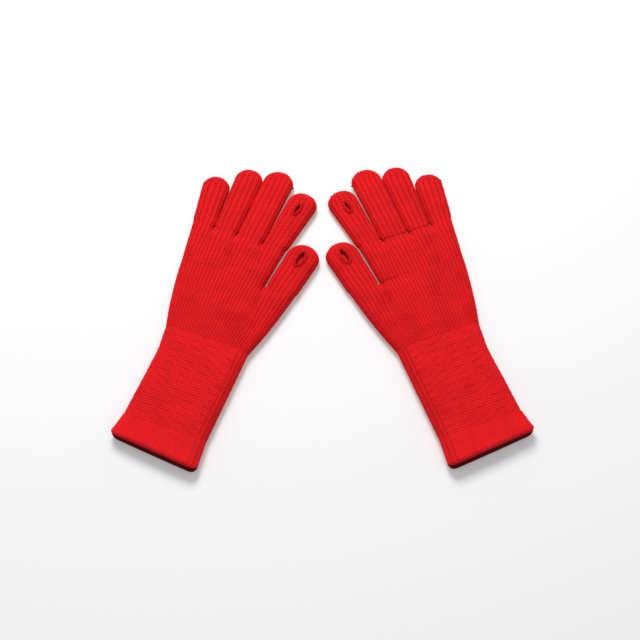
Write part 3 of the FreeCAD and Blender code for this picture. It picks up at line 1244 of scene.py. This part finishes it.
    def _yarn_end(self, glove: "Glove", node: str, body: str) -> None:
        """The tied-off yarn end: a short twisted stub with a knot's bulge, out from the tip's rim.

        Args:
            glove: the glove.
            node: the CAD node it replaces.
            body: the body it rides on.
        """
        angle = math.radians(self.yarn_angle)
        outwards = np.array([math.cos(angle), math.sin(angle), 0.0])
        sideways = np.array([-math.sin(angle), math.cos(angle), 0.0])
        start = np.array([*self.rim(angle), self.thickness / 2.0]) - (2.6 - self.yarn_shows) * outwards
        t = np.linspace(0.0, 1.0, 15)
        curl = 0.35 * np.sin(3.0 * t)
        path = start + t[:, None] * 2.6 * outwards + curl[:, None] * sideways
        bulge = 0.85 + 0.18 * np.sin(7.0 * t)
        radius = 1.25 * np.sqrt(np.clip(1.0 - (2.0 * t - 1.0) ** 4, 0.03, 1.0)) * bulge
        skin = cord_skin(path, radius, 1.2, 0.22, False)
        made = skin.mesh(node.replace("_end", "_knot"), glove.place, glove.finishes.yarn)
        settle(made, body, [node])

    def _lip(self, glove: "Glove", rows: Rows, slit: Slit, node: str, body: str) -> None:
        """The slit's rolled lip: a twisted roll that follows the lens over the tube's top.

        Args:
            glove: the glove.
            rows: the finger's rows.
            slit: the slit.
            node: the CAD node it replaces.
            body: the body it rides on.
        """
        turn = np.linspace(0.0, 2.0 * math.pi, 120, endpoint=False)
        course = slit.centre - (slit.half_length + 0.12) * np.cos(turn)
        half = (slit.half_width + 1.15) * np.sign(np.sin(turn)) * np.abs(np.sin(turn)) ** 1.15
        centre = (rows.left + rows.right) / 2.0
        across = rows.right - rows.left
        across = across / np.linalg.norm(across, axis=1, keepdims=True)
        cx, cy = np.interp(course, rows.course, centre[:, 0]), np.interp(course, rows.course, centre[:, 1])
        ax, ay = np.interp(course, rows.course, across[:, 0]), np.interp(course, rows.course, across[:, 1])
        level = np.interp(course, rows.course, rows.middle + rows.half)
        path = np.stack([cx + half * ax, cy + half * ay, level - 0.65], axis=1)
        radius = 1.5 + 0.18 * np.sin(9.0 * turn + 1.0)
        skin = cord_skin(path, radius, 13.0, 0.20, True)
        # The lip's darker finish is painted shade round the slit.
        made = skin.mesh(node.replace("_edge", "_lip"), glove.place, glove.finishes.lip)
        settle(made, body, [node])


@dataclass
class Palm:
    """A palm section: a flat tube that divides at its far end."""

    name: str
    node: str
    low_y: float
    low_left: float
    low_right: float
    high_y: float
    high_left: float
    high_right: float
    cells: list[Cell]
    bulge: float
    courses: int
    low_thickness: float = 13.0
    thickness: float = 13.0
    end_thickness: float = 11.5
    rows_per_course: int = 5
    relief_depth: float = 1.3
    divide_length: float = 13.0
    seams: tuple[tuple[float, float, float], ...] = ()

    def rows(self) -> Rows:
        """Cross-sections at even steps, the sides bowed as a parabola, the ends eased in thickness.

        Returns:
            The palm's rows.
        """
        t = np.linspace(0.0, 1.0, self.courses * self.rows_per_course + 1)
        y = self.low_y + t * (self.high_y - self.low_y)
        bow = 4.0 * self.bulge * t * (1.0 - t)
        left = np.stack([self.low_left + t * (self.high_left - self.low_left) - bow, y], axis=1)
        right = np.stack([self.low_right + t * (self.high_right - self.low_right) + bow, y], axis=1)
        ease_in = smooth(0.0, 14.0, y - self.low_y)
        ease_out = smooth(0.0, 16.0, self.high_y - y)
        thick = self.low_thickness + ease_in * (self.thickness - self.low_thickness)
        thick = self.end_thickness + ease_out * (thick - self.end_thickness)
        depth = np.full(len(t), self.relief_depth)
        return Rows(left, right, thick / 2.0, thick / 2.0, t * self.courses, depth, np.zeros(len(t)))

    def build(self, glove: "Glove") -> None:
        """Build the section.

        Args:
            glove: the glove that it belongs to.
        """
        rows = self.rows()
        divided = smooth(self.divide_length, 0.0, self.high_y - rows.left[:, 1])
        fanned = smooth(self.high_y - self.low_y, 0.0, self.high_y - rows.left[:, 1])
        wales = sum(cell.wales for cell in self.cells)
        tube = KnitTube(
            rows,
            wales,
            Knit.HAND,
            cells=self.cells,
            divided=divided,
            fanned=fanned,
            seed=glove.seed,
            seams=self.seams,
        )
        made = tube.build().mesh(glove.hand + "_" + self.name, glove.place, glove.finishes.hand)
        settle(made, glove.hand + "_palm", [glove.hand + "_" + self.node])


@dataclass
class Wrist:
    """The long wrist tube with its paired rows."""

    length: float = 96.0
    flare_length: float = 30.0
    width: float = 79.0
    palm_left: float = -43.05
    palm_right: float = 39.45
    thickness: float = 14.0
    palm_thickness: float = 13.0
    courses: int = 39
    wales: int = 36
    rows_per_course: int = 5
    relief_depth: float = 0.9

    def rows(self) -> Rows:
        """Cross-sections from the hem to the palm, straight and then widening smoothly.

        Returns:
            The wrist's rows.
        """
        y = np.linspace(-self.length, -0.15, self.courses * self.rows_per_course + 1)
        widen = smooth(-self.flare_length, 4.0, y)
        left = -self.width / 2.0 + widen * (self.palm_left + self.width / 2.0)
        right = self.width / 2.0 + widen * (self.palm_right - self.width / 2.0)
        wave = 0.35 * np.sin(y / 7.3 * 2.0 * math.pi) + 0.4 * np.sin(y / 41.0 + 1.0)
        thick = self.thickness + smooth(-14.0, 0.0, y) * (self.palm_thickness - self.thickness)
        draw = 0.3 * wave + 0.2
        sides = np.stack([left + draw, y], axis=1), np.stack([right - draw, y], axis=1)
        course = (y + self.length) / self.length * self.courses
        depth = np.full(len(y), self.relief_depth)
        return Rows(sides[0], sides[1], thick / 2.0, thick / 2.0, course, depth, np.zeros(len(y)))

    def build(self, glove: "Glove") -> None:
        """Build the wrist.

        Args:
            glove: the glove that it belongs to.
        """
        tube = KnitTube(
            self.rows(),
            self.wales,
            Knit.WRIST,
            seed=glove.seed,
            per_wale=6,
            rib=(self.wales - 2.9, self.wales - 4.7),
        )
        made = tube.build().mesh(glove.hand + "_wrist_knit", glove.place, glove.finishes.wrist)
        start, end = glove.place.point(0.0, 0.0, 7.0), glove.place.point(0.0, -20.0, 7.0)
        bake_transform(made)
        describe(made, [glove.hand + "_wrist", glove.hand + "_wrist_elastic_threads"])


@dataclass
class Hem:
    """The doubled band at the cuff: out, round a rolled edge, and back up inside."""

    top: float = -96.15
    length: float = 24.8
    half_width: float = 39.5
    flare: float = 3.2
    half_thickness: float = 7.0
    end_half_thickness: float = 8.2
    slant: float = 4.6
    fabric: float = 6.7
    facing: float = 4.6
    corner: float = 5.0
    wales: int = 36
    per_wale: int = 6
    relief_depth: float = 0.7

    def _profile(self) -> tuple[Array, Array, Array, Array]:
        """The band's section along the glove: down the outside, round the roll, up the inside.

        Returns:
            Distance down from the top, inset from the outside, relief depth and course.
        """
        roll = self.fabric / 2.0
        straight = self.length - roll
        outer = np.linspace(0.0, straight, 42)
        angle = np.linspace(0.0, math.pi, 24)[1:-1]
        inner = np.linspace(straight, 0.6, 20)
        down = np.concatenate([outer, straight + roll * np.sin(angle), inner])
        thin = self.facing + (self.fabric - self.facing) * smooth(0.5, 1.0, inner / straight)
        inset = np.concatenate([np.zeros(42), roll * (1.0 - np.cos(angle)), thin])
        run = np.concatenate([[0.0], np.cumsum(np.hypot(np.diff(down), np.diff(inset)))])
        rolled = 0.3 + 0.7 * np.cos(angle / 2.0)
        depth = self.relief_depth * np.concatenate([np.ones(42), rolled, np.full(20, 0.3)])
        return down, inset, depth, run / 2.4 + 0.5

    def build(self, glove: "Glove") -> None:
        """Build the band and the seam above it.

        Args:
            glove: the glove that it belongs to.
        """
        down, inset, depth, course = self._profile()
        t = down / self.length
        count = 2 * self.wales * self.per_wale
        share, side = round_shares(np.arange(count) * (2.0 / count))
        half_width = (self.half_width + self.flare * t - inset)[:, None]
        half = (self.half_thickness + (self.end_half_thickness - self.half_thickness) * t)[:, None]
        across, height = pillow(np.broadcast_to(share, (len(t), count)), half_width, half - inset[:, None])
        tilt = math.tan(math.radians(self.slant))
        past = np.clip((np.abs(across) - half_width + self.corner) / self.corner, 0.0, 1.0)
        drawn = self.corner * 0.75 * (1.0 - np.sqrt(1.0 - past**2)) * t[:, None] ** 3
        y = self.top - down[:, None] - tilt * across * t[:, None] + drawn
        lean = 0.8 * across / self.half_width
        sag = (0.5 * soft_noise(across, y, 60.0, glove.seed) + lean - 0.8) * t[:, None]
        z = half + side[None, :] * height + np.where(side > 0, sag, 0.0)
        base = np.stack([across, y, z], axis=2)
        wale = np.broadcast_to(share * self.wales, across.shape)
        rows = np.broadcast_to(course[:, None], across.shape)
        relief = hem_relief(wale, rows)
        # The ribs press grooves that sink the band and also darken it as painted shade.
        rib_places = (self.wales - 2.9, self.wales - 4.7)
        ribs = sum(np.exp(-(((wale - place) / 0.35) ** 2)) for place in rib_places)
        relief = relief * (1.0 - 0.45 * ribs * (side > 0))
        points = base - outward(base, True) * (depth[:, None] * (relief - 1.0))[..., None]
        # Painted shade: the band darkens in its hollows, as the rolled edge turns inside, and on the
        # underside towards the rolled end.
        shade = (0.30 + 0.70 * relief) * (1.0 - 0.85 * smooth(0.15, 0.95, inset / self.facing))[:, None]
        shade = shade * np.where(side > 0, 1.0, 1.0 - 0.90 * smooth(0.55, 0.92, t)[:, None])
        skin = Skin()
        first = skin.add(points, shade, np.stack([wale, rows], axis=2))
        grid = first + np.arange(len(t) * count).reshape(len(t), count)
        grid = np.concatenate([grid, grid[:, :1]], axis=1)
        grid = np.concatenate([grid, grid[:1]], axis=0)
        a, b, c, d = grid[:-1, :-1], grid[:-1, 1:], grid[1:, 1:], grid[1:, :-1]
        skin.join([d, c, b, a])
        made = skin.mesh(glove.hand + "_hem_knit", glove.place, glove.finishes.hem)
        layers = [glove.hand + "_hem_outer", glove.hand + "_hem_facing"]
        settle(made, glove.hand + "_cuff", layers)
        self._seam(glove)

    def _seam(self, glove: "Glove") -> None:
        """The seam's yarn, a loop round the top of the band that shows on the little finger's half.

        Args:
            glove: the glove.
        """
        count = 360
        share, side = round_shares(np.arange(count) * (2.0 / count))
        showing = 1.0 - smooth(0.45, 0.75, share)
        inset = 1.6 - 0.7 * showing * (side > 0)
        across, height = pillow(share, self.half_width - inset, self.half_thickness - inset)
        wander = 0.25 * np.sin(share * 53.0)
        path = np.stack([across, self.top - 0.7 + wander, self.half_thickness + side * height], axis=1)
        skin = cord_skin(path, np.full(count, 0.62), 60.0, 0.25, True, 8)
        made = skin.mesh(glove.hand + "_hem_seam", glove.place, glove.finishes.hem)
        settle(made, glove.hand + "_cuff", [glove.hand + "_hem_stitching"])


@dataclass
class Glove:
    """One glove with all its sections."""

    hand: str
    place: GloveFrame
    finishes: Finishes
    seed: float
    fork: float = 73.15
    knuckles: float = 118.15

    def fingers(self) -> list[Finger]:
        """The four fingers and the thumb.

        Returns:
            The fingers from the little finger to the thumb.
        """
        root = self.knuckles
        return [
            Finger(
                name="little_finger",
                left=-68.55,
                right=-46.45,
                root=root,
                length=59.15,
                tip_width=26.4,
                lean=-8.7,
                yarn_angle=172.0,
                yarn_shows=1.0,
            ),
            Finger(
                name="ring_finger",
                left=-45.95,
                right=-23.05,
                root=root,
                length=78.65,
                tip_width=27.0,
                lean=-3.0,
                yarn_angle=150.0,
            ),
            Finger(
                name="middle_finger",
                left=-22.55,
                right=3.95,
                root=root,
                length=86.65,
                tip_width=29.0,
                lean=0.0,
                yarn_angle=0.0,
                wales=7,
                yarn_shows=1.9,
            ),
            Finger(
                name="index_finger",
                left=4.45,
                right=27.95,
                root=root,
                length=70.15,
                tip_width=28.4,
                lean=6.01,
                yarn_angle=55.0,
                wales=7,
                slit_from_tip=24.0,
                slit_length=13.5,
                slit_width=3.4,
            ),
            Finger(
                name="thumb",
                left=25.8,
                right=55.3,
                root=self.fork,
                length=57.65,
                tip_width=31.0,
                lean=7.06,
                yarn_angle=9.0,
                thickness=12.0,
                wales=8,
                slit_from_tip=19.5,
                slit_length=17.5,
                slit_width=5.4,
            ),
        ]

    def palms(self) -> list[Palm]:
        """The two palm sections.

        Returns:
            The section below the thumb and the section beside it.
        """
        upper = [Cell(-60.3, 24.8, 6.3, 26), Cell(25.8, 55.3, 6.0, 8)]
        knuckle = [Cell(f.left, f.right, 5.75, f.wales) for f in self.fingers()[:4]]
        return [
            Palm(
                name="palm_knit",
                node="five_finger_palm",
                low_y=-0.15,
                low_left=-43.05,
                low_right=39.45,
                high_y=self.fork,
                high_left=-60.3,
                high_right=55.3,
                cells=upper,
                bulge=1.4,
                courses=31,
                end_thickness=12.6,
                seams=((30.6, 20.0, 26.0),) if self.hand == "left" else (),
            ),
            Palm(
                name="knuckle_knit",
                node="four_finger_palm",
                low_y=self.fork,
                low_left=-60.3,
                low_right=24.8,
                high_y=self.knuckles,
                high_left=-68.55,
                high_right=27.95,
                cells=knuckle,
                bulge=0.0,
                courses=19,
                low_thickness=12.6,
                seams=((18.6, 6.0, 19.0),) if self.hand == "left" else (),
            ),
        ]

    def build(self) -> None:
        """Build every piece of the glove."""
        for palm in self.palms():
            palm.build(self)
        for finger in self.fingers():
            finger.build(self)
        Wrist().build(self)
        Hem().build(self)


# ---------------------------------------------------------------- the stage


@dataclass(frozen=True)
class Studio:
    """The floor, the lamps and the camera."""

    aim: tuple[float, float, float] = (-0.0023, -0.0090, 0.0)
    elevation: float = 57.7
    distance: float = 1.15
    lens: float = 70.3
    floor_size: float = 6.0
    key_power: float = 17.0
    fill_power: float = 1.0
    ambient: float = 0.40

    def build(self) -> None:
        """Set up the stage round the gloves."""
        self._floor()
        self._lamp("key_lamp", (-0.2, 0.85, 1.2), 0.65, self.key_power)
        self._lamp("fill_lamp", (0.35, -1.0, 1.3), 1.4, self.fill_power)
        self._world()
        self._camera()
        bpy.context.scene.view_settings.view_transform = "Standard"

    def _floor(self) -> None:
        """A plain sheet under the gloves."""
        half = self.floor_size / 2.0
        data = bpy.data.meshes.new("floor")
        corners = [(-half, -half, 0.0), (half, -half, 0.0), (half, half, 0.0), (-half, half, 0.0)]
        data.from_pydata(corners, [], [(0, 1, 2, 3)])
        data.materials.append(FloorFinish().make())
        made = bpy.data.objects.new("floor", data)
        bpy.context.scene.collection.objects.link(made)
        made.location.z = -0.0002

    def _lamp(self, name: str, place: tuple[float, float, float], size: float, power: float) -> None:
        """A soft square lamp that faces the gloves.

        Args:
            name: the lamp's name.
            place: where it stands, in metres.
            size: its side.
            power: its power in watts.
        """
        data = bpy.data.lights.new(name, "AREA")
        data.size = size
        data.energy = power
        made = bpy.data.objects.new(name, data)
        bpy.context.scene.collection.objects.link(made)
        made.location = place
        towards = Vector((0.0, 0.0, 0.0)) - Vector(place)
        made.rotation_euler = towards.to_track_quat("-Z", "Y").to_euler()

    def _world(self) -> None:
        """An even pale surround that is plain white wherever it is looked at directly."""
        shader = Shader(bpy.data.worlds.new("surround"))
        white = (1.0, 1.0, 1.0, 1.0)
        light = shader.node("ShaderNodeBackground", {}, {"Color": white, "Strength": self.ambient})
        plain = shader.node("ShaderNodeBackground", {}, {"Color": white, "Strength": 1.0})
        chosen = shader.node("ShaderNodeMixShader", {}, {0: shader.direct(), 1: light, 2: plain})
        bpy.context.scene.world = shader.close(chosen, "ShaderNodeOutputWorld")

    def _camera(self) -> None:
        """The camera, looking down at the gloves from the cuffs' side."""
        data = bpy.data.cameras.new("camera")
        data.sensor_width = 36.0
        data.lens = self.lens
        made = bpy.data.objects.new("camera", data)
        bpy.context.scene.collection.objects.link(made)
        rise = math.radians(self.elevation)
        back = Vector((0.0, -math.cos(rise), math.sin(rise)))
        made.location = Vector(self.aim) + back * self.distance
        made.rotation_euler = (-back).to_track_quat("-Z", "Y").to_euler()
        bpy.context.scene.camera = made


def main() -> None:
    """Build both gloves and the stage."""
    logging.basicConfig(level=logging.INFO)
    # red is the yarn's own colour; deep_red is painted shade for the hollows between the loops.
    red, deep_red = (1.0, 0.0115, 0.0155, 1.0), (0.20, 0.0015, 0.003, 1.0)
    finishes = Finishes(
        hand=YarnFinish("red_hand_knit", red, deep_red).make(),
        # The slit's lip is the same red yarn, given a darker crest as painted shade round the slit.
        lip=YarnFinish("shaded_red_lip_knit", (0.80, 0.009, 0.0125, 1.0), deep_red).make(),
        wrist=YarnFinish("red_wrist_knit", red, deep_red).make(),
        # The hem's very dark valley colour is painted shade for its hollows, rolled edge and underside.
        hem=YarnFinish("red_hem_knit", red, (0.09, 0.0012, 0.004, 1.0)).make(),
        yarn=YarnFinish("dark_red_yarn", (0.42, 0.006, 0.010, 1.0), (0.12, 0.001, 0.003, 1.0)).make(),
    )
    for hand, seed in (("right", 1.0), ("left", 4.0)):
        Glove(hand, GloveFrame.of(frame["record"], hand), finishes, seed).build()
    Studio().build()


if __name__ == "__main__":
    main()
